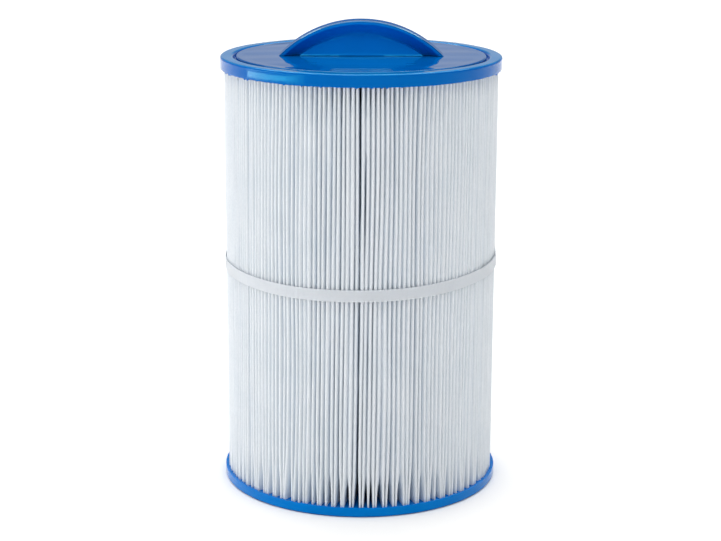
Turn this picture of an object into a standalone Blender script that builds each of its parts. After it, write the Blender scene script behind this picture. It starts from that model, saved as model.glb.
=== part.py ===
"""Pleated spa filter cartridge with a half-moon handle.

A pleated sheet stands around a slotted core tube. Its ends are set in two cast caps. The top cap
is closed and holds a moulded plate with the handle. The bottom cap is a ring with an open bore.
Units are metres, +Z is up, the cartridge stands on z = 0, and the handle runs along X.
"""

import math

import bmesh
import bpy
from mathutils import Matrix, Vector

MM = 0.001

# Driving dimensions
CAP_RADIUS = 88.9 * MM
CAP_HEIGHT = 276.0 * MM  # from the floor to the rim of the top cap
LIP_RADIUS = 87.3 * MM  # inside of the lips that hold the pleats
GAP = 0.3 * MM
CAP_STEPS = 64

TOP_SIDE = 7.9 * MM
TOP_DISC_UNDERSIDE = CAP_HEIGHT - 6.2 * MM
POCKET_RADIUS = 80.4 * MM
POCKET_DEPTH = 3.4 * MM
RIM_BEVEL = 1.6 * MM
PLUG_RADIUS = 29.6 * MM
PLUG_LENGTH = 8.0 * MM

BOTTOM_SIDE = 6.0 * MM
BOTTOM_BED = 2.8 * MM
BORE_RADIUS = 27.0 * MM
COLLAR_RADIUS = 29.6 * MM
COLLAR_HEIGHT = 9.0 * MM
EDGE_ROUND = 1.4 * MM

PLATE_RADIUS = 78.8 * MM
PLATE_THICKNESS = 3.0 * MM
PLATE_ROUND = 0.8 * MM
ANCHOR_INNER = 19.0 * MM
ANCHOR_OUTER = 22.0 * MM
ANCHOR_DEPTH = 4.0 * MM

HANDLE_RADIUS = 72.0 * MM
HANDLE_RISE = 21.8 * MM
HANDLE_SINK = 1.0 * MM  # how far the flange and web run down into the plate before they are joined
FLANGE_DEPTH = 16.0 * MM
FLANGE_LIP = 1.7 * MM
FLANGE_EDGE = 0.5 * MM
FLANGE_RUN_ON = 0.06  # extra angle of arc at each foot, in radians
FLANGE_STEPS = 28
COVE_WIDTH = 7.0 * MM
WEB_TOP_DEPTH = 5.0 * MM
WEB_BASE_DEPTH = 13.0 * MM
WEB_OVERLAP = 0.4 * MM
WEB_STEPS = 24
FRAME_LENGTH = 37.0 * MM
FRAME_WIDTH = 8.0 * MM
FRAME_LINE = 0.9 * MM
FRAME_HEIGHT = 0.4 * MM
FRAME_SINK = 0.5 * MM
FRAME_FROM_CENTRE = 69.0 * MM
FRAME_END_STEPS = 8

CORE_OUTER = 36.0 * MM
CORE_WALL = 3.0 * MM
CORE_SEGMENTS = ("core_lower", "core_middle", "core_upper")
CORE_COLUMNS = 16
CORE_RIBS = 8
CORE_WINDOW_ROWS = 1
CORE_RING = 6.0 * MM
CORE_COUPLERS = ("core_coupler_lower", "core_coupler_upper")
COUPLER_WALL = 1.6 * MM
COUPLER_HEIGHT = 11.0 * MM

PLEATS = 184
PLEAT_OUTER = 86.5 * MM
PLEAT_INNER = 37.9 * MM
OUTER_GROOVE = 3.4 * MM
INNER_GROOVE = 1.6 * MM
OUTER_FOLD = 1.6 * MM  # width of a fold's crest
SEAM_ANGLE = 0.036  # angle of the slot between the sheet's two ends, at the front

SEAM_FIN_THICKNESS = 0.5 * MM
SEAM_FIN_END = 60.0 * MM
SEAM_TAPE_INNER = 36.4 * MM
SEAM_TAPE_OUTER = 37.1 * MM
SEAM_TAPE_WIDTH = 8.0 * MM

BAND_INNER = 86.9 * MM
BAND_THICKNESS = 0.9 * MM
BAND_HEIGHT = 7.4 * MM
BAND_CENTRE = 145.6 * MM
BAND_DIP = 0.046
BAND_LEAN = 0.0155
BAND_STEPS = 96

MERGE = 0.00001
SMOOTH_BELOW = 35  # edges flatter than this many degrees are shaded round

PLATE_TOP = CAP_HEIGHT
POCKET_FLOOR = CAP_HEIGHT - POCKET_DEPTH
MEDIA_BOTTOM = BOTTOM_BED + GAP
MEDIA_TOP = TOP_DISC_UNDERSIDE - GAP
ARC_CENTRE = PLATE_TOP + HANDLE_RISE - HANDLE_RADIUS

BLUE_CAST = (0.0, 0.13, 0.48, 1.0)
BLUE_MOULDED = (0.0, 0.10, 0.42, 1.0)
WHITE_MEDIA = (0.80, 0.82, 0.85, 1.0)
WHITE_CORE = (0.82, 0.82, 0.80, 1.0)
CLEAR_BAND = (0.78, 0.80, 0.84, 1.0)
SEAM_GREY = (0.55, 0.56, 0.58, 1.0)


def clear_scene():
    for obj in list(bpy.data.objects):
        bpy.data.objects.remove(obj, do_unlink=True)


def new_collection(name):
    collection = bpy.data.collections.new(name)
    bpy.context.scene.collection.children.link(collection)
    return collection


def new_material(name, colour, roughness):
    material = bpy.data.materials.new(name)
    material.use_nodes = True
    shader = material.node_tree.nodes["Principled BSDF"]
    shader.inputs["Base Color"].default_value = colour
    shader.inputs["Roughness"].default_value = roughness
    shader.inputs["Metallic"].default_value = 0.0
    material.diffuse_color = colour
    return material


def new_object(name, mesh, collection, material=None):
    obj = bpy.data.objects.new(name, mesh)
    collection.objects.link(obj)
    if material:
        mesh.materials.append(material)
    return obj


def mesh_from(bm, name):
    mesh = bpy.data.meshes.new(name)
    bm.to_mesh(mesh)
    bm.free()
    return mesh


def shade_round(obj):
    obj.data.shade_smooth()
    obj.data.set_sharp_from_angle(angle=math.radians(SMOOTH_BELOW))


def as_cutter(obj):
    obj.hide_render = True
    obj.display_type = "WIRE"
    return obj


def add_boolean(obj, other, operation):
    modifier = obj.modifiers.new(operation.lower() + "_" + other.name, "BOOLEAN")
    modifier.object = other
    modifier.operation = operation
    modifier.solver = "EXACT"


def turned(name, profile, steps, collection, material=None, on_axis=False):
    """A body of revolution about Z from a profile of (radius, height), which runs down its outer side.

    The profile is a closed ring, or with on_axis one that starts and ends on the Z axis.
    """
    bm = bmesh.new()
    points = [bm.verts.new((radius, 0.0, height)) for radius, height in profile]
    ends = points[1:] if on_axis else points[1:] + points[:1]
    for start, end in zip(points, ends):
        bm.edges.new((start, end))
    obj = new_object(name, mesh_from(bm, name), collection, material)
    screw = obj.modifiers.new("turn", "SCREW")
    screw.axis = "Z"
    screw.steps = steps
    screw.render_steps = steps
    screw.use_merge_vertices = True
    screw.merge_threshold = MERGE
    screw.use_smooth_shade = True
    return obj


def quarter(centre, radius, start, end, count=3):
    """Points on an arc in the profile plane, between two angles in degrees."""
    points = []
    for i in range(count + 1):
        angle = math.radians(start + (end - start) * i / count)
        points.append((centre[0] + radius * math.cos(angle), centre[1] + radius * math.sin(angle)))
    return points


def make_top_cap(collection, material):
    """The cast cap: a lip around the pleats, a pocket for the plate and a plug into the core."""
    lip_bottom = CAP_HEIGHT - TOP_SIDE
    plug_bottom = TOP_DISC_UNDERSIDE - PLUG_LENGTH
    groove_bottom = POCKET_FLOOR - ANCHOR_DEPTH - GAP
    profile = [
        (0.0, POCKET_FLOOR),
        (ANCHOR_INNER - GAP, POCKET_FLOOR),
        (ANCHOR_INNER - GAP, groove_bottom),
        (ANCHOR_OUTER + GAP, groove_bottom),
        (ANCHOR_OUTER + GAP, POCKET_FLOOR),
        (POCKET_RADIUS, POCKET_FLOOR),
    ]
    profile += quarter((POCKET_RADIUS + RIM_BEVEL, CAP_HEIGHT - RIM_BEVEL), RIM_BEVEL, 180, 90)
    profile += quarter((CAP_RADIUS - EDGE_ROUND, CAP_HEIGHT - EDGE_ROUND), EDGE_ROUND, 90, 0)
    profile += [
        (CAP_RADIUS, lip_bottom),
        (LIP_RADIUS, lip_bottom),
        (LIP_RADIUS, TOP_DISC_UNDERSIDE),
        (PLUG_RADIUS, TOP_DISC_UNDERSIDE),
        (PLUG_RADIUS, plug_bottom),
        (0.0, plug_bottom),
    ]
    return turned("top_cap", profile, CAP_STEPS, collection, material, on_axis=True)


def make_bottom_cap(collection, material):
    """The cast ring: a lip around the pleats, a flat bed and a collar around the bore."""
    profile = [(CAP_RADIUS, BOTTOM_SIDE)]
    profile += quarter((CAP_RADIUS - EDGE_ROUND, EDGE_ROUND), EDGE_ROUND, 0, -90)
    profile += [
        (BORE_RADIUS + EDGE_ROUND, 0.0),
        (BORE_RADIUS, EDGE_ROUND),
        (BORE_RADIUS, COLLAR_HEIGHT),
        (COLLAR_RADIUS, COLLAR_HEIGHT),
        (COLLAR_RADIUS, BOTTOM_BED),
        (LIP_RADIUS, BOTTOM_BED),
        (LIP_RADIUS, BOTTOM_SIDE),
    ]
    return turned("bottom_cap", profile, CAP_STEPS, collection, material)


def flange_sweep(name, collection):
    """The arched flange: a lip, a sloping underside and a flat core, swept about the arc centre."""
    half = FLANGE_DEPTH / 2
    web = WEB_TOP_DEPTH / 2
    inner = HANDLE_RADIUS - COVE_WIDTH
    lip = HANDLE_RADIUS - FLANGE_LIP
    section = [
        (HANDLE_RADIUS, -half + FLANGE_EDGE),
        (HANDLE_RADIUS, half - FLANGE_EDGE),
        (HANDLE_RADIUS - FLANGE_EDGE, half),
        (lip, half),
        (inner, web),
        (inner, -web),
        (lip, -half),
        (HANDLE_RADIUS - FLANGE_EDGE, -half),
    ]
    reach = math.acos((HANDLE_RADIUS - HANDLE_RISE) / HANDLE_RADIUS) + FLANGE_RUN_ON
    first = Matrix.Rotation(-reach, 3, "Y")
    bm = bmesh.new()
    corners = [bm.verts.new(first @ Vector((0.0, depth, radius))) for radius, depth in section]
    face = bm.faces.new(corners)
    bmesh.ops.spin(
        bm,
        geom=[face],
        cent=(0, 0, 0),
        axis=(0, 1, 0),
        angle=2 * reach,
        steps=FLANGE_STEPS,
        use_duplicate=False,
    )
    bmesh.ops.translate(bm, verts=bm.verts, vec=(0, 0, ARC_CENTRE))
    bmesh.ops.recalc_face_normals(bm, faces=bm.faces)
    return new_object(name, mesh_from(bm, name), collection)


def web_solid(name, collection):
    """The half-moon web under the flange, thicker at its foot than under the flange."""
    inner = HANDLE_RADIUS - COVE_WIDTH + WEB_OVERLAP
    reach = math.acos((PLATE_TOP - HANDLE_SINK - ARC_CENTRE) / inner)
    top = ARC_CENTRE + inner
    outline = []
    for i in range(WEB_STEPS + 1):
        angle = -reach + 2 * reach * i / WEB_STEPS
        outline.append((inner * math.sin(angle), ARC_CENTRE + inner * math.cos(angle)))
    bm = bmesh.new()
    sides = []
    for side in (-1, 1):
        ring = []
        for x, z in outline:
            share = max((z - PLATE_TOP) / (top - PLATE_TOP), 0.0)
            depth = WEB_BASE_DEPTH + (WEB_TOP_DEPTH - WEB_BASE_DEPTH) * share
            ring.append(bm.verts.new((x, side * depth / 2, z)))
        sides.append(ring)
    front, back = sides
    bm.faces.new(front)
    bm.faces.new(list(reversed(back)))
    for i in range(len(front)):
        j = (i + 1) % len(front)
        bm.faces.new((front[j], front[i], back[i], back[j]))
    bmesh.ops.recalc_face_normals(bm, faces=bm.faces)
    return new_object(name, mesh_from(bm, name), collection)


def foot_trim(collection):
    """The box that cuts off whatever runs on below the handle's feet."""
    length = 2 * PLATE_RADIUS
    height = HANDLE_RADIUS
    bpy.ops.mesh.primitive_cube_add(size=1.0)
    box = bpy.context.object
    box.name = "handle_foot_trim"
    for owner in list(box.users_collection):
        owner.objects.unlink(box)
    collection.objects.link(box)
    box.scale = (length, length, height)
    box.location = (0, 0, PLATE_TOP - HANDLE_SINK - height / 2)
    return box


def name_frame(name, collection):
    """A blank raised frame with round ends, as a closed ring of rectangular section."""
    straight = FRAME_LENGTH / 2 - FRAME_WIDTH / 2
    low = PLATE_TOP - FRAME_SINK
    high = PLATE_TOP + FRAME_HEIGHT
    outer = FRAME_WIDTH / 2
    inner = outer - FRAME_LINE
    bm = bmesh.new()
    loops = []
    for radius, z in ((outer, low), (outer, high), (inner, high), (inner, low)):
        loop = []
        for side in (1, -1):
            for i in range(FRAME_END_STEPS + 1):
                angle = math.pi * (i / FRAME_END_STEPS - side / 2)
                x = side * straight + radius * math.cos(angle)
                y = radius * math.sin(angle) - FRAME_FROM_CENTRE
                loop.append(bm.verts.new((x, y, z)))
        loops.append(loop)
    for first, second in zip(loops, loops[1:] + loops[:1]):
        for i in range(len(first)):
            j = (i + 1) % len(first)
            bm.faces.new((first[i], first[j], second[j], second[i]))
    bmesh.ops.recalc_face_normals(bm, faces=bm.faces)
    return new_object(name, mesh_from(bm, name), collection)


def make_handle_plate(collection, cutters, material):
    """The moulded plate with its anchor ring, half-moon web, flange and blank frame."""
    bottom = PLATE_TOP - PLATE_THICKNESS
    edge = PLATE_RADIUS - PLATE_ROUND
    profile = [(0.0, PLATE_TOP)]
    profile += quarter((edge, PLATE_TOP - PLATE_ROUND), PLATE_ROUND, 90, 0)
    profile += [
        (PLATE_RADIUS, bottom),
        (ANCHOR_OUTER, bottom),
        (ANCHOR_OUTER, bottom - ANCHOR_DEPTH),
        (ANCHOR_INNER, bottom - ANCHOR_DEPTH),
        (ANCHOR_INNER, bottom),
        (0.0, bottom),
    ]
    plate = turned("handle_plate", profile, CAP_STEPS, collection, material, on_axis=True)

    flange = as_cutter(flange_sweep("handle_flange", cutters))
    add_boolean(flange, as_cutter(web_solid("handle_web", cutters)), "UNION")
    add_boolean(flange, as_cutter(foot_trim(cutters)), "DIFFERENCE")
    add_boolean(plate, flange, "UNION")
    add_boolean(plate, as_cutter(name_frame("name_frame", cutters)), "UNION")
    return plate


def lattice_sheet(name, radius, bottom, top, collection, material):
    """An open cylinder of faces with rows of windows between upright ribs."""
    window = (top - bottom - (CORE_WINDOW_ROWS + 1) * CORE_RING) / CORE_WINDOW_ROWS
    heights = [bottom]
    for _ in range(CORE_WINDOW_ROWS):
        heights.append(heights[-1] + CORE_RING)
        heights.append(heights[-1] + window)
    heights.append(top)
    per_rib = CORE_COLUMNS // CORE_RIBS
    bm = bmesh.new()
    rows = []
    for z in heights:
        row = []
        for column in range(CORE_COLUMNS):
            angle = 2 * math.pi * column / CORE_COLUMNS
            row.append(bm.verts.new((radius * math.cos(angle), radius * math.sin(angle), z)))
        rows.append(row)
    for level in range(len(rows) - 1):
        for column in range(CORE_COLUMNS):
            is_window = level % 2 == 1 and column % per_rib != 0
            if is_window:
                continue
            after = (column + 1) % CORE_COLUMNS
            low, high = rows[level], rows[level + 1]
            bm.faces.new((low[column], low[after], high[after], high[column]))
    obj = new_object(name, mesh_from(bm, name), collection, material)
    solidify = obj.modifiers.new("wall", "SOLIDIFY")
    solidify.thickness = CORE_WALL
    solidify.offset = -1.0
    solidify.use_even_offset = True
    return obj


def make_core(collection, material):
    """Three slotted segments end to end, with a coupling ring bonded inside each of the two joints."""
    low = BOTTOM_BED + GAP
    high = TOP_DISC_UNDERSIDE - GAP
    count = len(CORE_SEGMENTS)
    length = (high - low - (count - 1) * GAP) / count
    for index, name in enumerate(CORE_SEGMENTS):
        bottom = low + index * (length + GAP)
        lattice_sheet(name, CORE_OUTER, bottom, bottom + length, collection, material)
    outside = (CORE_OUTER - CORE_WALL) * math.cos(math.pi / CORE_COLUMNS) - GAP
    inside = outside - COUPLER_WALL
    for index, name in enumerate(CORE_COUPLERS):
        joint = low + (index + 1) * (length + GAP) - GAP / 2
        top = joint + COUPLER_HEIGHT / 2
        bottom = joint - COUPLER_HEIGHT / 2
        profile = [(outside, top), (outside, bottom), (inside, bottom), (inside, top)]
        turned(name, profile, CORE_COLUMNS, collection, material)


def upright_solid(name, outline, collection, material):
    """A solid between the caps that stands on a flat outline of (x, y) corners."""
    bm = bmesh.new()
    face = bm.faces.new([bm.verts.new((x, y, MEDIA_BOTTOM)) for x, y in outline])
    grown = bmesh.ops.extrude_face_region(bm, geom=[face])["geom"]
    corners = [item for item in grown if isinstance(item, bmesh.types.BMVert)]
    bmesh.ops.translate(bm, verts=corners, vec=(0, 0, MEDIA_TOP - MEDIA_BOTTOM))
    bmesh.ops.recalc_face_normals(bm, faces=bm.faces)
    return new_object(name, mesh_from(bm, name), collection, material)


def make_pleated_media(collection, material):
    """The folded sheet round the core, as a solid pack with its folds in relief on both sides.

    The pack is open along a slot at the front, where the sheet's two ends meet.
    """
    start = -math.pi / 2 + SEAM_ANGLE / 2
    step = (2 * math.pi - SEAM_ANGLE) / PLEATS
    crest = OUTER_FOLD / 2 / PLEAT_OUTER
    path = []
    for pleat in range(PLEATS):
        valley = start + pleat * step
        path.append((PLEAT_OUTER - OUTER_GROOVE, valley))
        path.append((PLEAT_OUTER, valley + step / 2 - crest))
        path.append((PLEAT_OUTER, valley + step / 2 + crest))
    path.append((PLEAT_OUTER - OUTER_GROOVE, start + PLEATS * step))
    for pleat in reversed(range(PLEATS)):
        path.append((PLEAT_INNER, start + (pleat + 1) * step))
        path.append((PLEAT_INNER + INNER_GROOVE, start + (pleat + 0.5) * step))
    path.append((PLEAT_INNER, start))
    outline = [(radius * math.cos(angle), radius * math.sin(angle)) for radius, angle in path]
    return upright_solid("pleated_media", outline, collection, material)


def make_seam_strip(collection, material):
    """A T-shaped strip that joins the sheet's ends: a tape on the core side and a fin between them."""
    fin = SEAM_FIN_THICKNESS / 2
    tape = SEAM_TAPE_WIDTH / 2
    outline = [
        (-tape, -SEAM_TAPE_INNER),
        (tape, -SEAM_TAPE_INNER),
        (tape, -SEAM_TAPE_OUTER),
        (fin, -SEAM_TAPE_OUTER),
        (fin, -SEAM_FIN_END),
        (-fin, -SEAM_FIN_END),
        (-fin, -SEAM_TAPE_OUTER),
        (-tape, -SEAM_TAPE_OUTER),
    ]
    return upright_solid("media_seam_strip", outline, collection, material)


def make_band(collection, material):
    """The strap that holds the pleats in place near mid height. It sits a little lower at the front."""
    outer = BAND_INNER + BAND_THICKNESS
    profile = [
        (outer, BAND_HEIGHT / 2),
        (outer, -BAND_HEIGHT / 2),
        (BAND_INNER, -BAND_HEIGHT / 2),
        (BAND_INNER, BAND_HEIGHT / 2),
    ]
    band = turned("retaining_band", profile, BAND_STEPS, collection, material)
    band.location.z = BAND_CENTRE
    band.rotation_euler = (BAND_DIP, -BAND_LEAN, 0.0)
    return band


def main():
    clear_scene()
    parts = new_collection("filter_cartridge")
    cutters = new_collection("cutters")
    cast = new_material("cast_blue", BLUE_CAST, 0.35)
    moulded = new_material("moulded_blue", BLUE_MOULDED, 0.18)
    media = new_material("polyester_media", WHITE_MEDIA, 0.85)
    core = new_material("core_plastic", WHITE_CORE, 0.5)
    strap = new_material("strap_plastic", CLEAR_BAND, 0.3)
    seam = new_material("seam_bond", SEAM_GREY, 0.6)

    make_top_cap(parts, cast)
    make_handle_plate(parts, cutters, moulded)
    make_bottom_cap(parts, cast)
    make_core(parts, core)
    make_pleated_media(parts, media)
    make_seam_strip(parts, seam)
    make_band(parts, strap)
    for obj in parts.objects:
        if not any(modifier.type == "SCREW" for modifier in obj.modifiers):
            shade_round(obj)


main()
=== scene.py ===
import math

import bmesh
import bpy
import numpy as np
from mathutils import Matrix, Vector


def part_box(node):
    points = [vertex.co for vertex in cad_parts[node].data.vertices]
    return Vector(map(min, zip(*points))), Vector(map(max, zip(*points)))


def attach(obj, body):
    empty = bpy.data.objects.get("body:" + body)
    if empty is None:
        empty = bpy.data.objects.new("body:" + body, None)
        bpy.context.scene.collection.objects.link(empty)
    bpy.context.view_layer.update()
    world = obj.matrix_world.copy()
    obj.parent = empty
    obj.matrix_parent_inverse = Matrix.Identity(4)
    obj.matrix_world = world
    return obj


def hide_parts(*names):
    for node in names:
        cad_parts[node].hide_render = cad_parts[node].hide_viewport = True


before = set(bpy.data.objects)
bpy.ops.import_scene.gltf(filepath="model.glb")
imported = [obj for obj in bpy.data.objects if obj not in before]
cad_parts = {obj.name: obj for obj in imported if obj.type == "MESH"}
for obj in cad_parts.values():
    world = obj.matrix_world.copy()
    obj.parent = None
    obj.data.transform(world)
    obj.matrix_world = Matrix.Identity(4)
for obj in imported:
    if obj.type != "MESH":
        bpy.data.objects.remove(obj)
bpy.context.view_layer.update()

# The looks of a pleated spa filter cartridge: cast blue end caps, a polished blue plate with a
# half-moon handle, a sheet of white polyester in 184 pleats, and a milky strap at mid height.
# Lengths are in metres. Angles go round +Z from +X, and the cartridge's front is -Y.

MM = 0.001
TAU = 2 * math.pi
FRONT = -math.pi / 2
RNG = np.random.default_rng(184)    # gives every random draw, in a fixed order

# Sizes that come from the CAD model
TOP_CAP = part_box("top_cap")
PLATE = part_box("handle_plate")
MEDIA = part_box("pleated_media")
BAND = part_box("retaining_band")
CAP_RADIUS = TOP_CAP[1][0]
RIM_Z = TOP_CAP[1][2]
PLATE_RADIUS = PLATE[1][0]
HANDLE_TOP = PLATE[1][2]
MEDIA_LOW = MEDIA[0][2]
MEDIA_HIGH = MEDIA[1][2]
BAND_Z = (BAND[0][2] + BAND[1][2]) / 2

# Caps
CAP_COLUMNS = 4             # columns of points a pleat
CORE_FIT = 29.6 * MM        # radius of the plug and the collar that enter the core's ends
COLLAR_TOP = 9.0 * MM
BORE_RADIUS = 27.0 * MM

# Plate and handle
PLATE_EDGE = 0.9 * MM       # the rounding of the plate's edge
PLATE_COLUMNS = 256
ARC_COLUMNS = 193
HANDLE_RADIUS = 72.0 * MM   # of the flange's arc, seen from the front
FLANGE_HALF = 8.0 * MM
WEB_HALF_TOP = 2.58 * MM
WEB_HALF_FOOT = 6.5 * MM
ARC_CENTRE = HANDLE_TOP - HANDLE_RADIUS

# Pleated sheet
PLEATS = 184
PLEAT_OUTER = 86.5 * MM     # radius of the crests
PLEAT_INNER = 37.9 * MM     # radius of the inner folds
SEAM_ANGLE = 0.036          # left free for the seam strip, where the sheet's two ends meet
SHEET_THICKNESS = 0.42 * MM
WALL_CLEARANCE = SHEET_THICKNESS / 2 + 0.04 * MM
CREST_ROUNDNESS = 0.95      # a crest's depth as a share of its half width

# Strap
STRAP_COLUMNS = 7           # columns of points a pleat
STRAP_START = FRONT + math.radians(62)
STRAP_INNER = 86.81 * MM
STRAP_THICKNESS = 0.50 * MM
STRAP_LAP = 0.34            # the angle over which its two ends lie on each other
BAND_HEIGHT = 7.4 * MM
BAND_DIP = 0.046            # its tilt down towards the front
BAND_LEAN = 0.0155          # its tilt up towards the right

# Two points closer than this are one
SAME_POINT = 1e-6

# Softboxes: name, azimuth in degrees from the camera's side (left is negative), distance, height,
# width, length, radiance, and the height on the axis that it is aimed at
SOFTBOXES = (
    ("key_left", -81, 1.5, 0.105, 1.12, 0.19, 6.8, 0.14),
    ("key_edge", -57.5, 1.5, 0.12, 0.13, 0.22, 5.0, 0.15),
    ("key_fade", -52.5, 1.5, 0.12, 0.13, 0.22, 3.4, 0.15),
    ("key_tail", -47.5, 1.5, 0.12, 0.13, 0.22, 1.8, 0.15),
    ("edge_light", 180, 1.45, 2.02, 3.0, 0.20, 8.0, 0.28),
    ("front_fill", 12, 2.2, 1.30, 2.4, 1.3, 0.14, 0.15),
)

# The dome's radiance by the sine of the elevation
DOME = (
    (0.0, 0.51), (0.06, 0.49), (0.12, 0.47), (0.16, 0.43),
    (0.22, 0.18), (0.60, 0.20), (0.84, 2.45), (1.0, 3.1),
)

# The colour sockets of a Mix node
MIX_A, MIX_B, MIX_RESULT = 6, 7, 2


def smoothstep(low, high, value):
    share = np.clip((value - low) / (high - low), 0.0, 1.0)
    return share * share * (3 - 2 * share)


def wave_noise(lengths, z):
    """Smooth random curves over height, one a pleat, about -1 to 1: rows are levels."""
    total = np.zeros((len(z), PLEATS))
    for length in lengths:
        phase = RNG.uniform(0, TAU, PLEATS)
        rate = RNG.uniform(0.8, 1.25, PLEATS) * TAU / length
        total += np.sin(z[:, None] * rate[None, :] + phase[None, :])
    return total / math.sqrt(len(lengths))


def round_noise(angles, counts):
    """Smooth noise round the circle, about -1 to 1, from waves of some counts a turn."""
    total = np.zeros_like(angles)
    for count in counts:
        total += np.sin(angles * count + RNG.uniform(0, TAU))
    return total / math.sqrt(len(counts))


# ---------------------------------------------------------------- meshes

def link(name, data):
    obj = bpy.data.objects.new(name, data)
    bpy.context.scene.collection.objects.link(obj)
    return obj


def grid_object(name, points, smooth_angle, close_rows=False, close_columns=False):
    """A mesh from a grid of points, rows by columns, with its faces turned outwards."""
    rows, columns = points.shape[:2]
    index = np.arange(rows * columns).reshape(rows, columns)
    if close_rows:
        index = np.vstack([index, index[:1]])
    if close_columns:
        index = np.hstack([index, index[:, :1]])
    corners = (index[:-1, :-1], index[:-1, 1:], index[1:, 1:], index[1:, :-1])
    faces = np.stack(corners, axis=-1)
    mesh = bpy.data.meshes.new(name)
    mesh.from_pydata(points.reshape(-1, 3).tolist(), [], faces.reshape(-1, 4).tolist())
    obj = link(name, mesh)
    weld(obj)
    shade(obj, smooth_angle)
    return obj


def weld(obj):
    """Merges points that coincide, and turns the faces outwards."""
    bm = bmesh.new()
    bm.from_mesh(obj.data)
    bmesh.ops.remove_doubles(bm, verts=bm.verts, dist=SAME_POINT)
    bmesh.ops.dissolve_degenerate(bm, edges=bm.edges, dist=SAME_POINT / 10)
    bmesh.ops.recalc_face_normals(bm, faces=bm.faces)
    bm.to_mesh(obj.data)
    bm.free()


def fill_ends(obj):
    """Closes the two open ends of a tube."""
    bm = bmesh.new()
    bm.from_mesh(obj.data)
    open_edges = [edge for edge in bm.edges if edge.is_boundary]
    bmesh.ops.holes_fill(bm, edges=open_edges, sides=0)
    bmesh.ops.recalc_face_normals(bm, faces=bm.faces)
    bm.to_mesh(obj.data)
    bm.free()


def shade(obj, smooth_angle):
    """Smooth shading, with edges sharper than an angle in degrees kept sharp."""
    obj.data.shade_smooth()
    obj.data.set_sharp_from_angle(angle=math.radians(smooth_angle))


def apply_modifiers(obj):
    graph = bpy.context.evaluated_depsgraph_get()
    mesh = bpy.data.meshes.new_from_object(obj.evaluated_get(graph), depsgraph=graph)
    obj.modifiers.clear()
    obj.data = mesh


def join_solids(obj, other):
    """Joins another closed body to an object, and removes it."""
    modifier = obj.modifiers.new("join", "BOOLEAN")
    modifier.operation = "UNION"
    modifier.solver = "EXACT"
    modifier.object = other
    apply_modifiers(obj)
    bpy.data.objects.remove(other, do_unlink=True)


def arc_points(centre, radius, start, end, count):
    """(radius, height) points on an arc in the profile plane, between two angles in degrees."""
    angles = np.radians(np.linspace(start, end, count + 1))
    return [(centre[0] + radius * math.cos(a), centre[1] + radius * math.sin(a)) for a in angles]


def turned_points(profile, angles):
    """Profile points by angles: an array of points, one row for each profile point."""
    profile = np.array(profile)
    radius = profile[:, 0][:, None]
    height = np.repeat(profile[:, 1][:, None], len(angles), axis=1)
    return np.stack([radius * np.cos(angles), radius * np.sin(angles), height], axis=-1)


def move_radially(points, amount):
    """Moves points, none of them on the axis, away from it."""
    radius = np.hypot(points[..., 0], points[..., 1])
    scale = (radius + amount) / radius
    points[..., 0] *= scale
    points[..., 1] *= scale


# ---------------------------------------------------------------- pleated sheet

def pleat_levels():
    """The heights of the sheet's rows, closer together near both caps."""
    return np.concatenate([
        [MEDIA_LOW, 6.0 * MM, 8.5 * MM, 11.5 * MM, 15.5 * MM, 20 * MM, 26 * MM, 36 * MM],
        np.linspace(52 * MM, 230 * MM, 11),
        [244 * MM, 254 * MM, 261 * MM, 266 * MM, MEDIA_HIGH],
    ])


def spread_round(rows):
    """Shares each column's values with its neighbours round the circle."""
    kernel = np.array([1, 3, 5, 6, 5, 3, 1]) / 24
    reach = len(kernel) // 2
    wrapped = np.concatenate([rows[:, -reach:], rows, rows[:, :reach]], axis=1)
    return np.stack([np.convolve(row, kernel, "valid") for row in wrapped])


def crest_places(z, even):
    """How far each crest stands from its even place, as lengths at the crests' radius.

    Pleats draw together in groups of one to three near the caps, each wanders over its height,
    neighbours lean together, and the whole pack is twisted a little.
    """
    near_bottom = 1 - smoothstep(5 * MM, 40 * MM, z)[:, None]
    near_top = smoothstep(235 * MM, 268 * MM, z)[:, None]
    group_sizes = [1, 1, 2, 2, 2, 3, 3]
    pull = np.zeros(PLEATS)
    first = 0
    while first < PLEATS:
        last = min(first + int(RNG.choice(group_sizes)), PLEATS)
        pull[first:last] = (first + last - 1) / 2 - np.arange(first, last)
        first = last
    pitch = TAU * PLEAT_OUTER / PLEATS
    bunched = pull[None, :] * (0.05 + 0.43 * near_bottom + 0.05 * near_top) * pitch
    own = wave_noise((0.34, 0.21), z) * 0.12 * MM
    shared = spread_round(wave_noise((0.30, 0.17), z)) * 0.75 * MM
    fixed = RNG.normal(0, 0.13 * MM, PLEATS)[None, :]
    height = (z / MEDIA_HIGH)[:, None]
    twist = (height - 1) * (2.0 - 1.1 * np.cos(even)[None, :]) * MM
    return bunched + own + shared + fixed + twist


def crest_shapes(z, tip, pinch):
    """Each crest's half width and outer radius, with room left between neighbours."""
    half_width = 0.50 * MM
    pinched = 0.40 * MM
    narrowest = 0.24 * MM
    crest = half_width + RNG.normal(0, 0.07 * MM, PLEATS)[None, :]
    crest = crest + wave_noise((0.28, 0.19), z) * 0.04 * MM
    crest = crest + (pinched - crest) * pinch
    apart = np.roll(tip, -1, axis=1) - tip
    apart[:, -1] += TAU
    gap_right = apart * PLEAT_OUTER
    gap_left = np.roll(gap_right, 1, axis=1)
    room = np.minimum(gap_left, gap_right) / 2 - SHEET_THICKNESS / 2 - 0.05 * MM
    crest = np.clip(crest, narrowest, np.maximum(room, narrowest))
    radius = PLEAT_OUTER - np.abs(RNG.normal(0, 0.28, PLEATS))[None, :] * MM
    radius = radius + wave_noise((0.18, 0.1), z) * 0.10 * MM
    return crest, np.minimum(radius, PLEAT_OUTER)


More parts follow.
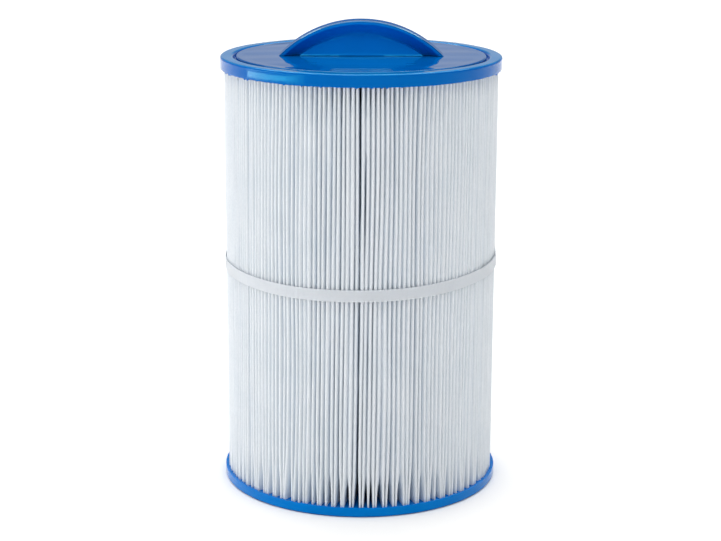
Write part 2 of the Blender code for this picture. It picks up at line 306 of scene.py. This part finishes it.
def valley_depths(z, even, closed_low, closed_high):
    """How far in from its crests each valley closes: column i lies after pleat i.

    The valleys are deepest at the front, and the last one, in the middle of the front, gapes.
    """
    frontal = np.exp(-(np.sin((even - FRONT) / 2) / 0.22) ** 2)
    depth = np.exp(RNG.normal(0, 0.36, PLEATS))[None, :] * (1.75 + 0.85 * frontal) * MM
    depth = depth * (1 + 0.22 * wave_noise((0.2, 0.11), z))
    depth = depth * (1 - 0.25 * smoothstep(0.02, 0.30, np.cos(even)))[None, :]
    depth = np.clip(depth, 1.3 * MM, 7 * MM)
    open_high = smoothstep(0.172, 0.195, z) * (1 - 0.35 * smoothstep(0.235, 0.270, z))
    open_middle = smoothstep(0.085, 0.100, z) * (1 - smoothstep(0.120, 0.140, z))
    open_low = 1 - smoothstep(0.055, 0.095, z)
    depth[:, -1] = (2.8 + 4.6 * open_high + 2.2 * open_middle + 5.0 * open_low) * MM
    depth[:, 0] += 7 * MM * smoothstep(0.170, 0.190, z) * (1 - smoothstep(0.205, 0.222, z))
    return depth + (13 * MM - depth) * closed_low + 1.5 * MM * closed_high


def make_pleated_sheet():
    """The sheet, its flat length, and the crests' angles by level and pleat.

    Each pleat has a narrow rounded crest, and its walls widen inwards until they touch the
    neighbours'. The columns run along the sheet, from one side of the seam round to the other.
    """
    z = pleat_levels()
    levels = len(z)
    even = FRONT + (np.arange(PLEATS) + 0.5) * TAU / PLEATS
    tip = even[None, :] + crest_places(z, even) / PLEAT_OUTER
    closed_low = 1 - smoothstep(5 * MM, 25 * MM, z)[:, None]
    closed_high = smoothstep(245 * MM, 268 * MM, z)[:, None]
    pinch = np.maximum(closed_low, 0.25 * closed_high)
    crest, radius = crest_shapes(z, tip, pinch)
    depth = valley_depths(z, even, closed_low, closed_high)

    fold_step = (TAU - SEAM_ANGLE) / PLEATS
    valley = FRONT + SEAM_ANGLE / 2 + np.arange(PLEATS + 1) * fold_step
    fold_half = 0.23 * MM / PLEAT_INNER     # half an inner fold's width, as an angle
    closed_half = 0.42 * MM                 # half a pleat's width where the caps hold it closed
    deep = 0.30                             # the walls' inner points, as a share of the way out
    deep_reach = PLEAT_INNER + (PLEAT_OUTER - PLEAT_INNER) * deep
    columns = []

    def add(angle, distance):
        place = [distance * np.cos(angle), distance * np.sin(angle), z]
        columns.append(np.stack(place, axis=-1))

    def wall_points(i, side):
        """A wall's points inwards: where it meets its neighbour, deep in, and at the fold."""
        neighbour = (i + side) % PLEATS
        between = (tip[:, i] + tip[:, neighbour]) / 2
        wrap = np.where(np.abs(tip[:, neighbour] - tip[:, i]) > math.pi, math.pi, 0.0)
        between = between + wrap * (1 if side > 0 else -1)
        inner = valley[i + 1] if side > 0 else valley[i]
        reach = radius[:, i] - (depth[:, i] if side > 0 else depth[:, i - 1])
        share = (reach - PLEAT_INNER) / (PLEAT_OUTER - PLEAT_INNER)
        middle = inner + (between - inner) * share
        centre = tip[:, i] * share + (valley[i] + valley[i + 1]) / 2 * (1 - share)
        touching = middle - side * WALL_CLEARANCE / reach
        closed = centre + side * closed_half / reach
        meet = touching + (closed - touching) * pinch[:, 0]
        deep_angle = inner + (between - inner) * deep - side * WALL_CLEARANCE / deep_reach
        fold = inner - side * fold_half
        return [
            (meet, reach),
            (deep_angle, np.full(levels, deep_reach)),
            (np.full(levels, fold), PLEAT_INNER),
        ]

    for i in range(PLEATS):
        left = wall_points(i, -1)
        right = wall_points(i, 1)
        if i == 0:
            left[2] = (np.full(levels, valley[0]), PLEAT_INNER)
        if i == PLEATS - 1:
            right[2] = (np.full(levels, valley[-1]), PLEAT_INNER)
        for angle, distance in reversed(left):
            add(angle, distance)
        rise = CREST_ROUNDNESS * crest[:, i]
        shoulder = radius[:, i] - rise
        for degrees in (-90, -48, 0, 48, 90):
            turn = math.radians(degrees)
            across = crest[:, i] / PLEAT_OUTER * math.sin(turn)
            add(tip[:, i] + across, shoulder + rise * math.cos(turn))
        for angle, distance in right:
            add(angle, distance)
    points = np.stack(columns, axis=1)

    steps = np.linalg.norm(np.diff(points, axis=1), axis=-1)
    length = float(np.mean(steps.sum(axis=1)))
    sheet = grid_object("pleated_sheet", points, 180)
    thicken = sheet.modifiers.new("thickness", "SOLIDIFY")
    thicken.thickness = SHEET_THICKNESS
    thicken.offset = 0.0
    thicken.use_even_offset = False
    apply_modifiers(sheet)
    shade(sheet, 75)
    return sheet, length, tip


# ---------------------------------------------------------------- caps

def cap_angles():
    """The caps' columns: the first of each pleat's is on the even place of a valley."""
    count = PLEATS * CAP_COLUMNS
    return FRONT + np.arange(count) * TAU / count


def make_top_cap():
    """The cast cap: a smooth side, a rounded rim, a pocket for the plate, a ragged lower edge."""
    edge = 1.5 * MM
    bevel = 1.9 * MM
    lip_low = RIM_Z - 7.9 * MM
    pocket = RIM_Z - 3.4 * MM
    pocket_radius = 80.4 * MM
    slot_inner = 18.7 * MM
    slot_outer = 22.3 * MM
    slot_low = pocket - 4.3 * MM
    disc_low = RIM_Z - 6.2 * MM
    plug_low = disc_low - 8 * MM
    profile = [(0.0, pocket), (slot_inner, pocket), (slot_inner, slot_low)]
    profile += [(slot_outer, slot_low), (slot_outer, pocket), (60 * MM, pocket)]
    profile += [(pocket_radius - 0.5 * MM, pocket), (pocket_radius, pocket + 0.5 * MM)]
    rim_start = len(profile)
    profile += arc_points((pocket_radius + bevel, RIM_Z - bevel), bevel, 180, 90, 8)
    profile += [(r * MM, RIM_Z) for r in (83.0, 84.0, 85.0, 86.0)]
    profile += arc_points((CAP_RADIUS - edge, RIM_Z - edge), edge, 90, 0, 8)
    side_top = len(profile) - 1
    rim = slice(rim_start, side_top - 4)
    profile += [(CAP_RADIUS, RIM_Z - 3.2 * MM), (CAP_RADIUS, RIM_Z - 5.2 * MM)]
    profile += [(CAP_RADIUS, lip_low + 0.9 * MM), (CAP_RADIUS - 0.05 * MM, lip_low + 0.25 * MM)]
    lip = len(profile) - 1
    profile += [(CAP_RADIUS - 0.45 * MM, lip_low), (PLEAT_OUTER - 0.4 * MM, lip_low + 0.1 * MM)]
    profile += [(PLEAT_OUTER - 4 * MM, lip_low + 0.5 * MM), (60 * MM, disc_low)]
    profile += [(CORE_FIT, disc_low), (CORE_FIT, plug_low), (0.0, plug_low)]
    angles = cap_angles()
    points = turned_points(profile, angles)

    ragged = 0.22 * round_noise(angles, (7, 13, 31, 57))
    ragged = ragged + 0.18 * round_noise(angles, (92, 131, 167))
    chance = RNG.random(PLEATS)
    dripping = np.cos(np.arange(PLEATS) / PLEATS * TAU - math.radians(-62))
    spikes = np.where(chance < 0.10 + 0.30 * np.clip(dripping, 0, 1) ** 2, 1.0, 0.0)
    spikes *= RNG.uniform(0.35, 1.0, PLEATS)
    drop = np.zeros(len(angles))
    drop[::CAP_COLUMNS] = spikes
    drop[1::CAP_COLUMNS] = spikes * 0.35
    lowered = (0.30 * ragged - 0.95 * drop) * MM
    for row, share in ((lip - 1, 0.5), (lip, 1.0), (lip + 1, 1.0), (lip + 2, 0.6)):
        points[row, :, 2] += lowered * share
    wander = np.minimum(round_noise(angles, (3, 5, 11)) - 1.2, 0.0)
    move_radially(points[side_top:lip + 1], (0.05 * MM * wander)[None, :])
    roll = 0.05 * MM * np.minimum(round_noise(angles, (2, 5, 9, 14)) - 1.3, 0.0)
    points[rim, :, 2] += roll[None, :]
    return grid_object("top_cap_cast", points, 50, close_columns=True)


def make_bottom_cap(tip):
    """The cast ring: its bed lies near the side's top, and rises where the pleats enter it."""
    edge = 1.2 * MM
    collar_edge = 0.5 * MM
    side_top = 5.9 * MM
    bed = 5.1 * MM
    profile = [(BORE_RADIUS, COLLAR_TOP - collar_edge), (BORE_RADIUS + collar_edge, COLLAR_TOP)]
    profile += [(CORE_FIT - collar_edge, COLLAR_TOP), (CORE_FIT, 8.5 * MM), (CORE_FIT, bed)]
    profile += [(60 * MM, bed), (70 * MM, bed)]
    bed_start = len(profile)
    profile += [(r * MM, bed) for r in (76, 80, 82, 84, 85.2, 86.2)]
    bed_end = len(profile)
    profile += [(87.0 * MM, bed + 0.35 * MM), (87.7 * MM, side_top - 0.1 * MM)]
    profile += [(88.3 * MM, side_top), (CAP_RADIUS - 0.15 * MM, side_top - 0.15 * MM)]
    top_edge = len(profile)
    profile += [(CAP_RADIUS, side_top - 0.6 * MM), (CAP_RADIUS, 3.6 * MM)]
    profile += arc_points((CAP_RADIUS - edge, edge), edge, 0, -90, 7)
    profile += [(60 * MM, 0.0), (BORE_RADIUS + 1.0 * MM, 0.0), (BORE_RADIUS, 1.0 * MM)]
    angles = cap_angles()
    points = turned_points(profile, angles)
    foot_angle = np.mod(tip[1] - FRONT, TAU)
    turned = angles[:, None] - FRONT - foot_angle[None, :]
    nearest = np.abs(np.mod(turned + math.pi, TAU) - math.pi).min(axis=1)
    closeness = np.exp(-(nearest * PLEAT_OUTER / (0.9 * MM)) ** 2)
    swell = 0.25 * MM * closeness + 0.10 * MM * round_noise(angles, (9, 17, 38, 71))
    points[bed_start:top_edge, :, 2] += swell[None, :]
    points[bed_end:top_edge, :, 2] += 0.06 * MM * round_noise(angles, (23, 46, 81))[None, :]
    wander = np.minimum(round_noise(angles, (4, 7, 12)) - 1.2, 0.0)
    move_radially(points[top_edge:top_edge + 3], (0.04 * MM * wander)[None, :])
    return grid_object("bottom_cap_cast", points, 50, close_rows=True, close_columns=True)


# ---------------------------------------------------------------- handle plate

def handle_section():
    """Half of the handle's section: (distance in from the crown, distance from the middle)."""
    half = FLANGE_HALF
    lip = 2.4 * MM
    lip_round = 0.30 * MM
    crown = [(0.62 * MM, 0.0), (0.58 * MM, 2.2 * MM), (0.44 * MM, 4.2 * MM), (0.22 * MM, 5.9 * MM)]
    crown += [(0.0, half - 0.98 * MM), (0.02 * MM, half - 0.90 * MM)]
    chamfer = [(0.05 * MM, half - 0.84 * MM), (0.27 * MM, half - 0.30 * MM)]
    chamfer += [(0.31 * MM, half - 0.22 * MM), (0.38 * MM, half - 0.13 * MM)]
    chamfer += [(0.47 * MM, half - 0.05 * MM), (0.60 * MM, half)]
    under = []
    for degrees in (0, 40, 75):
        turn = math.radians(degrees)
        low = lip - lip_round + lip_round * math.sin(turn)
        under.append((low, half - lip_round * (1 - math.cos(turn))))
    cove = [(3.5 * MM, 6.45 * MM), (5.3 * MM, 4.65 * MM), (6.9 * MM, 3.2 * MM)]
    cove += [(7.8 * MM, 2.66 * MM), (8.5 * MM, WEB_HALF_TOP)]
    return crown + chamfer + under + cove


def handle_points():
    """The arched flange and its half-moon web, sections from end to end, let into the plate."""
    foot = RIM_Z - 0.8 * MM
    flare_size = 0.45 * MM
    flare_height = 0.8 * MM
    web_rows = 14
    reach = math.acos((foot - ARC_CENTRE) / HANDLE_RADIUS)
    half = handle_section()
    last = HANDLE_RADIUS - half[-1][0]
    top = ARC_CENTRE + last - RIM_Z
    columns = []
    for angle in np.linspace(-reach, reach, ARC_COLUMNS):
        cosine = math.cos(angle)
        end = (foot - ARC_CENTRE) / cosine
        side = list(half)
        for row in range(1, web_rows + 1):
            distance = last + (min(end, last) - last) * row / web_rows
            height = ARC_CENTRE + distance * cosine - RIM_Z
            share = np.clip(height / top, 0.0, 1.0)
            depth = WEB_HALF_FOOT + (WEB_HALF_TOP - WEB_HALF_FOOT) * share
            flare = flare_size * (1 - smoothstep(0.0, flare_height, height))
            side.append((HANDLE_RADIUS - distance, float(max(depth, WEB_HALF_TOP) + flare)))
        ring = []
        for sign, order in ((-1, reversed(side)), (1, side[1:])):
            for inward, depth in order:
                distance = HANDLE_RADIUS - inward
                z = max(ARC_CENTRE + distance * cosine, foot)
                ring.append((distance * math.sin(angle), sign * depth, z))
        columns.append(ring)
    return np.array(columns).transpose(1, 0, 2)


def plate_relief(x, y):
    """How far the plate's upper face lies off its plane: slow sink marks, two ejector marks."""
    sink = 0.05 * np.sin(y / (9.1 * MM) + 1.3 * np.sin(x / (31 * MM)))
    sink += 0.035 * np.sin(y / (4.3 * MM) + 0.9 * np.sin(x / (17 * MM) + 1.0))
    sink += 0.03 * np.sin(x / (12 * MM) + y / (15 * MM))
    fade = 1 - smoothstep(0.9 * PLATE_RADIUS, PLATE_RADIUS - PLATE_EDGE, np.hypot(x, y))
    relief = (sink - 0.12) * MM * fade
    for mark_x in (-30 * MM, 30 * MM):
        away = np.hypot(x - mark_x, y + 41 * MM)
        relief -= 0.16 * MM * (1 - smoothstep(2.2 * MM, 3.0 * MM, away))
    return relief


def make_handle_plate():
    """The polished plate, its handle and the blank name frame, joined as one body."""
    bottom = RIM_Z - 3.0 * MM
    face_radius = PLATE_RADIUS - PLATE_EDGE
    ring_outer = 22 * MM
    ring_inner = 19 * MM
    ring_low = bottom - 4 * MM
    face = np.linspace(2 * MM, face_radius - 0.4 * MM, 76)
    profile = [(r, RIM_Z) for r in np.concatenate([[0.0], face])]
    face_rows = len(profile)
    profile += arc_points((face_radius, RIM_Z - PLATE_EDGE), PLATE_EDGE, 90, 0, 6)
    profile += [(PLATE_RADIUS, bottom), (ring_outer, bottom), (ring_outer, ring_low)]
    profile += [(ring_inner, ring_low), (ring_inner, bottom), (0.0, bottom)]
    angles = FRONT + np.arange(PLATE_COLUMNS) * TAU / PLATE_COLUMNS
    points = turned_points(profile, angles)
    upper = points[:face_rows]
    upper[..., 2] += plate_relief(upper[..., 0], upper[..., 1])
    plate = grid_object("handle_plate_moulding", points, 45, close_columns=True)

    handle = grid_object("handle_body", handle_points(), 45, close_rows=True)
    fill_ends(handle)
    join_solids(plate, handle)
    join_solids(plate, make_name_frame())
    shade(plate, 38)
    return plate


def make_name_frame():
    """The blank raised frame: a pill-shaped loop of round section, sunk into the plate."""
    length = 37.0 * MM
    width = 8.0 * MM
    line = 0.45 * MM
    rise = 0.42 * MM
    sunk = 0.25 * MM
    centre_y = 69.0 * MM
    straight = length / 2 - width / 2
    bend_steps = 14
    section_steps = 10
    rows = []
    for side in (1, -1):
        for bend in range(bend_steps + 1):
            angle = math.pi * (bend / bend_steps - side / 2)
            x = side * straight + width / 2 * math.cos(angle)
            y = width / 2 * math.sin(angle)
            row = []
            for step in range(section_steps):
                turn = TAU * step / section_steps
                away = line * math.cos(turn)
                row.append((
                    x + away * math.cos(angle),
                    y + away * math.sin(angle) - centre_y,
                    RIM_Z - sunk + rise * math.sin(turn),
                ))
            rows.append(row)
    return grid_object("name_frame", np.array(rows), 60, close_rows=True, close_columns=True)


# ---------------------------------------------------------------- strap

def make_strap():
    """One strap round the pleats, its two ends lapped and welded towards the right-hand side."""
    end = STRAP_START + TAU + STRAP_LAP
    angles = np.linspace(STRAP_START, end, PLEATS * STRAP_COLUMNS)
    along = angles - STRAP_START
    rise = smoothstep(TAU - 0.10, TAU + 0.02, along) * (STRAP_THICKNESS + 0.03 * MM)
    radius = STRAP_INNER + rise + 0.03 * MM * np.sin(along * 13 + 1) * np.sin(along * 5)
    radius = radius + 0.025 * MM * np.sin(along * PLEATS) * (1 + 0.5 * np.sin(along * 23))
    centre = BAND_Z + radius * (BAND_DIP * np.sin(angles) + BAND_LEAN * np.cos(angles))
    centre = centre + 0.16 * MM * np.sin(angles * 2 + 0.6) + 0.08 * MM * np.sin(angles * 7)

    thick = STRAP_THICKNESS
    half = BAND_HEIGHT / 2
    corner = 0.2 * MM
    inside = [(0, -half + corner), (0, -half * 0.5), (0, 0), (0, half * 0.5), (0, half - corner)]
    upper = [(corner, half), (thick - corner, half), (thick, half - corner)]
    outside = [(thick + 0.02 * MM, half * 0.5), (thick + 0.03 * MM, 0)]
    outside += [(thick + 0.02 * MM, -half * 0.5)]
    lower = [(thick, -half + corner), (thick - corner, -half), (corner, -half)]
    rows = []
    for out, up in inside + upper + outside + lower:
        reach = radius + out
        place = [reach * np.cos(angles), reach * np.sin(angles), centre + up]
        rows.append(np.stack(place, axis=-1))
    strap = grid_object("retaining_strap", np.array(rows), 40, close_rows=True)
    fill_ends(strap)
    return strap


# ---------------------------------------------------------------- materials

def new_material(name):
    material = bpy.data.materials.new(name)
    material.use_nodes = True
    tree = material.node_tree
    return material, tree, tree.nodes["Principled BSDF"]


def add_node(tree, kind, **inputs):
    node = tree.nodes.new(kind)
    for key, value in inputs.items():
        node.inputs[key.replace("_", " ")].default_value = value
    return node


def add_noise(tree, scale, detail, roughness, stretch=None):
    """Noise in the object's own coordinates, in waves a metre."""
    noise = add_node(tree, "ShaderNodeTexNoise", Scale=scale, Detail=detail, Roughness=roughness)
    where = tree.nodes.new("ShaderNodeTexCoord").outputs["Object"]
    if stretch:
        mapping = add_node(tree, "ShaderNodeMapping", Scale=stretch)
        tree.links.new(where, mapping.inputs["Vector"])
        where = mapping.outputs["Vector"]
    tree.links.new(where, noise.inputs["Vector"])
    return noise.outputs["Fac"]


def add_ramp(tree, source, low, high, dark, light):
    """A colour that goes from dark to light while the source goes from low to high."""
    ramp = tree.nodes.new("ShaderNodeValToRGB")
    first, second = ramp.color_ramp.elements
    first.position, second.position = low, high
    first.color, second.color = (*dark, 1), (*light, 1)
    tree.links.new(source, ramp.inputs["Fac"])
    return ramp.outputs["Color"]


def add_range(tree, source, to_min, to_max, from_min=0.0, from_max=1.0):
    node = add_node(tree, "ShaderNodeMapRange", From_Min=from_min, From_Max=from_max,
                    To_Min=to_min, To_Max=to_max)
    tree.links.new(source, node.inputs["Value"])
    return node.outputs["Result"]


def add_bump(tree, source, strength, distance, before=None):
    bump = add_node(tree, "ShaderNodeBump", Strength=strength, Distance=distance)
    tree.links.new(source, bump.inputs["Height"])
    if before is not None:
        tree.links.new(before, bump.inputs["Normal"])
    return bump.outputs["Normal"]


def add_mix(tree, first, second, share=None, blend="MIX"):
    """Two colours blended by a share, or in full where there is none."""
    mix = tree.nodes.new("ShaderNodeMix")
    mix.data_type = "RGBA"
    mix.blend_type = blend
    if share is not None:
        tree.links.new(share, mix.inputs["Factor"])
    else:
        mix.inputs["Factor"].default_value = 1.0
    tree.links.new(first, mix.inputs[MIX_A])
    tree.links.new(second, mix.inputs[MIX_B])
    return mix.outputs[MIX_RESULT]


def height_share(tree, low, high):
    """0 to 1 between two heights of the object."""
    where = tree.nodes.new("ShaderNodeTexCoord").outputs["Object"]
    parts = tree.nodes.new("ShaderNodeSeparateXYZ")
    tree.links.new(where, parts.inputs["Vector"])
    return add_range(tree, parts.outputs["Z"], 0.0, 1.0, low, high)


def distance_share(tree, low, high, keep, height=0.0):
    """0 to 1 between two distances from a line through (0, 0, height).

    The line runs along the axis whose share in keep is 0.
    """
    where = tree.nodes.new("ShaderNodeTexCoord").outputs["Object"]
    flat = add_node(tree, "ShaderNodeMapping", Location=(0.0, 0.0, -height), Scale=keep)
    away = tree.nodes.new("ShaderNodeVectorMath")
    away.operation = "LENGTH"
    tree.links.new(where, flat.inputs["Vector"])
    tree.links.new(flat.outputs["Vector"], away.inputs[0])
    return add_range(tree, away.outputs["Value"], 0.0, 1.0, low, high)


def connect(tree, shader, **sources):
    """Links sources to the shader's sockets, with _ for a space in a socket's name."""
    for key, source in sources.items():
        tree.links.new(source, shader.inputs[key.replace("_", " ")])


def set_blue_gloss(shader, level):
    """A specular level, and a tint that takes the red out of reflections seen head-on."""
    shader.inputs["Specular IOR Level"].default_value = level
    shader.inputs["Specular Tint"].default_value = (0.05, 1.0, 1.0, 1)


def cast_blue():
    """Cast polyurethane: saturated blue, soft gloss, faint flow marks.

    Its tone differs between the bottom cap and the top cap's side, and the rim's upper face gets a
    lighter, greener copy of the blue as painted light.
    """
    material, tree, shader = new_material("cast_blue")
    cloudy = add_noise(tree, 26.0, 5.0, 0.55)
    low = add_ramp(tree, cloudy, 0.3, 0.75, (0.0, 0.148, 0.53), (0.0, 0.174, 0.60))
    side = add_ramp(tree, cloudy, 0.3, 0.75, (0.0, 0.096, 0.430), (0.0, 0.116, 0.480))
    # Painted light: the rim's upper face is a lighter, greener copy of the blue, where the light
    # falls on it from above
    face = add_ramp(tree, cloudy, 0.3, 0.75, (0.0, 0.160, 0.430), (0.0, 0.185, 0.490))
    walls = add_mix(tree, low, side, height_share(tree, 0.1, 0.2))
    rim_painted_light_share = height_share(tree, RIM_Z - 0.7 * MM, RIM_Z - 0.3 * MM)
    colour = add_mix(tree, walls, face, rim_painted_light_share)
    gloss = add_range(tree, add_noise(tree, 90.0, 3.0, 0.5), 0.04, 0.09)
    flow = add_bump(tree, add_noise(tree, 60.0, 2.0, 0.4), 0.10, 0.0002)
    grain = add_bump(tree, add_noise(tree, 900.0, 3.0, 0.5), 0.02, 0.00005, flow)
    connect(tree, shader, Base_Color=colour, Roughness=gloss, Normal=grain)
    set_blue_gloss(shader, 0.30)
    return material


def moulded_blue():
    """Polished injection-moulded plastic with fine ripples across the plate.

    It carries painted light and shade: a lighter copy of the blue above the plate is painted light
    on the handle, and a darker copy on the plate and the flange's crown is painted shade.
    """
    material, tree, shader = new_material("moulded_blue")
    cloudy = add_noise(tree, 18.0, 4.0, 0.5)
    # The first ramp is the blue darkened as painted shade, for the plate and the flange's crown;
    # the second is a lighter copy, painted light on the handle above the plate
    thick = add_ramp(tree, cloudy, 0.3, 0.75, (0.0, 0.086, 0.312), (0.0, 0.100, 0.346))
    painted_light_blue = add_ramp(tree, cloudy, 0.3, 0.75, (0.0, 0.178, 0.69), (0.0, 0.200, 0.75))
    painted_light_above_plate = height_share(tree, RIM_Z + 0.20 * MM, RIM_Z + 0.30 * MM)
    painted_shade_on_crown = distance_share(tree, HANDLE_RADIUS - 0.82 * MM, HANDLE_RADIUS - 0.66 * MM,
                              (1.0, 0.0, 1.0), ARC_CENTRE)
    colour = add_mix(tree, add_mix(tree, thick, painted_light_blue, painted_light_above_plate), thick, painted_shade_on_crown)
    gloss = add_range(tree, add_noise(tree, 140.0, 3.0, 0.5), 0.02, 0.045)
    ripple = add_bump(tree, add_noise(tree, 1.0, 2.0, 0.45, (60.0, 330.0, 60.0)), 0.20, 0.0002)
    connect(tree, shader, Base_Color=colour, Roughness=gloss, Normal=ripple)
    set_blue_gloss(shader, 0.4)
    return material


def polyester_media():
    """Spunbonded polyester: matte cool white with fibres and a calendered speckle.

    It is painted a little darker and bluer deep between the pleats, as painted shade.
    """
    material, tree, shader = new_material("polyester_media")
    fibres = add_noise(tree, 1.0, 5.0, 0.62, (1500.0, 1500.0, 700.0))
    cloudy = add_noise(tree, 42.0, 4.0, 0.6)
    base = add_ramp(tree, cloudy, 0.3, 0.7, (0.765, 0.805, 0.840), (0.815, 0.842, 0.870))
    speck = add_ramp(tree, fibres, 0.35, 0.65, (0.93, 0.94, 0.95), (1, 1, 1))
    # Painted shade: the colour grows darker and bluer inwards from the crests, deep in the valleys
    # between the pleats
    outwards = distance_share(tree, 82.5 * MM, 86.0 * MM, (1.0, 1.0, 0.0))
    valley_painted_shade = add_ramp(tree, outwards, 0.0, 1.0, (0.86, 0.925, 1), (1, 1, 1))
    colour = add_mix(tree, base, speck, blend="MULTIPLY")
    colour = add_mix(tree, colour, valley_painted_shade, blend="MULTIPLY")
    rough = add_range(tree, fibres, 0.78, 0.95)
    soft = add_bump(tree, cloudy, 0.10, 0.0004)
    weave = add_bump(tree, fibres, 0.20, 0.00006, soft)
    connect(tree, shader, Base_Color=colour, Roughness=rough, Normal=weave)
    shader.inputs["Specular IOR Level"].default_value = 0.2
    shader.inputs["Sheen Weight"].default_value = 0.15
    shader.inputs["Sheen Roughness"].default_value = 0.6
    return material


def strap_plastic():
    """Milky strap: cool white, faintly mottled, half matte.

    It lets some light through, and so takes on the tone of the pleats behind it.
    """
    material, tree, shader = new_material("strap_plastic")
    mottle = add_noise(tree, 260.0, 5.0, 0.6)
    colour = add_ramp(tree, mottle, 0.3, 0.7, (0.840, 0.878, 0.920), (0.875, 0.905, 0.940))
    gloss = add_range(tree, mottle, 0.35, 0.55)
    bump = add_bump(tree, mottle, 0.2, 0.0001)
    connect(tree, shader, Base_Color=colour, Roughness=gloss, Normal=bump)
    shader.inputs["Transmission Weight"].default_value = 0.40
    shader.inputs["IOR"].default_value = 1.35
    return material


def core_plastic():
    """Plain moulded core plastic with a fine mould texture."""
    material, tree, shader = new_material("core_plastic")
    cloudy = add_noise(tree, 70.0, 4.0, 0.5)
    colour = add_ramp(tree, cloudy, 0.3, 0.7, (0.74, 0.75, 0.74), (0.80, 0.81, 0.80))
    grain = add_noise(tree, 1500.0, 3.0, 0.5)
    gloss = add_range(tree, grain, 0.38, 0.55)
    bump = add_bump(tree, grain, 0.15, 0.00008)
    connect(tree, shader, Base_Color=colour, Roughness=gloss, Normal=bump)
    return material


def seam_bond():
    """The bonded seam: off-white hot-melt with a wavy surface."""
    material, tree, shader = new_material("seam_bond")
    cloudy = add_noise(tree, 130.0, 4.0, 0.6)
    colour = add_ramp(tree, cloudy, 0.3, 0.7, (0.52, 0.53, 0.55), (0.66, 0.66, 0.67))
    gloss = add_range(tree, cloudy, 0.4, 0.65)
    bump = add_bump(tree, cloudy, 0.4, 0.0003)
    connect(tree, shader, Base_Color=colour, Roughness=gloss, Normal=bump)
    return material


def floor_material():
    """A pale matte floor with a faint warm tint."""
    material, tree, shader = new_material("studio_floor")
    cloudy = add_noise(tree, 3.0, 3.0, 0.5)
    colour = add_ramp(tree, cloudy, 0.3, 0.7, (0.872, 0.858, 0.838), (0.882, 0.868, 0.848))
    connect(tree, shader, Base_Color=colour)
    shader.inputs["Roughness"].default_value = 0.9
    shader.inputs["Specular IOR Level"].default_value = 0.1
    return material


def give(obj, material):
    obj.data.materials.clear()
    obj.data.materials.append(material)


# ---------------------------------------------------------------- studio

def make_floor():
    """A round floor just below the cartridge's foot."""
    radius = 9.0
    gap = 0.2 * MM
    bm = bmesh.new()
    bmesh.ops.create_circle(bm, cap_ends=True, segments=96, radius=radius)
    mesh = bpy.data.meshes.new("studio_floor")
    bm.to_mesh(mesh)
    bm.free()
    floor = link("studio_floor", mesh)
    floor.location.z = -gap
    give(floor, floor_material())


def add_softbox(name, azimuth, distance, height, width, length, radiance, aim):
    turn = math.radians(azimuth)
    place = Vector((distance * math.sin(turn), -distance * math.cos(turn), height))
    lamp = bpy.data.lights.new(name, "AREA")
    lamp.shape = "RECTANGLE"
    lamp.size = width
    lamp.size_y = length
    lamp.energy = radiance * math.pi * width * length
    obj = link(name, lamp)
    obj.location = place
    obj.rotation_euler = (Vector((0, 0, aim)) - place).to_track_quat("-Z", "Y").to_euler()


def make_world():
    """A dome that is pale at the horizon, dim above it and bright overhead.

    It is a little dimmer towards the right.
    """
    right_share = 0.78
    world = bpy.data.worlds.new("studio")
    bpy.context.scene.world = world
    world.use_nodes = True
    tree = world.node_tree
    where = tree.nodes.new("ShaderNodeTexCoord")
    parts = tree.nodes.new("ShaderNodeSeparateXYZ")
    tree.links.new(where.outputs["Generated"], parts.inputs["Vector"])
    ramp = tree.nodes.new("ShaderNodeValToRGB")
    elements = ramp.color_ramp.elements
    while len(elements) < len(DOME):
        elements.new(0.5)
    for element, (position, value) in zip(elements, DOME):
        element.position = position
        element.color = (value * 0.985, value, value * 1.02, 1)
    tree.links.new(parts.outputs["Z"], ramp.inputs["Fac"])
    back = tree.nodes["Background"]
    tree.links.new(ramp.outputs["Color"], back.inputs["Color"])
    strength = add_range(tree, parts.outputs["X"], 1.0, right_share)
    tree.links.new(strength, back.inputs["Strength"])


def make_camera():
    """The camera looks down by 14 degrees from 1.15 metres in front of the cartridge's axis."""
    distance = 1.150
    height = 0.4298
    pitch = math.radians(14.358)
    roll = math.radians(0.222)
    data = bpy.data.cameras.new("camera")
    data.sensor_fit = "HORIZONTAL"
    data.sensor_width = 36.0
    data.lens = 91.3
    camera = link("camera", data)
    camera.matrix_world = (
        Matrix.Translation((0.0, -distance, height))
        @ Matrix.Rotation(math.pi / 2 - pitch, 4, "X")
        @ Matrix.Rotation(roll, 4, "Z")
    )
    bpy.context.scene.camera = camera


# ---------------------------------------------------------------- assembly

def main():
    make_camera()
    cast = cast_blue()
    moulded = moulded_blue()

    sheet, length, tip = make_pleated_sheet()
    give(sheet, polyester_media())
    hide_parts("pleated_media")
    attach(sheet, "root")

    top = make_top_cap()
    give(top, cast)
    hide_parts("top_cap")
    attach(top, "root")

    bottom = make_bottom_cap(tip)
    give(bottom, cast)
    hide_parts("bottom_cap")
    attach(bottom, "root")

    plate = make_handle_plate()
    give(plate, moulded)
    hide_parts("handle_plate")
    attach(plate, "root")

    strap = make_strap()
    give(strap, strap_plastic())
    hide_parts("retaining_band")
    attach(strap, "root")

    core = core_plastic()
    for name in ("core_lower", "core_middle", "core_upper",
                 "core_coupler_lower", "core_coupler_upper"):
        give(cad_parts[name], core)
    give(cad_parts["media_seam_strip"], seam_bond())

    make_floor()
    make_world()
    for softbox in SOFTBOXES:
        add_softbox(*softbox)
    bpy.context.scene.view_settings.view_transform = "Standard"


main()
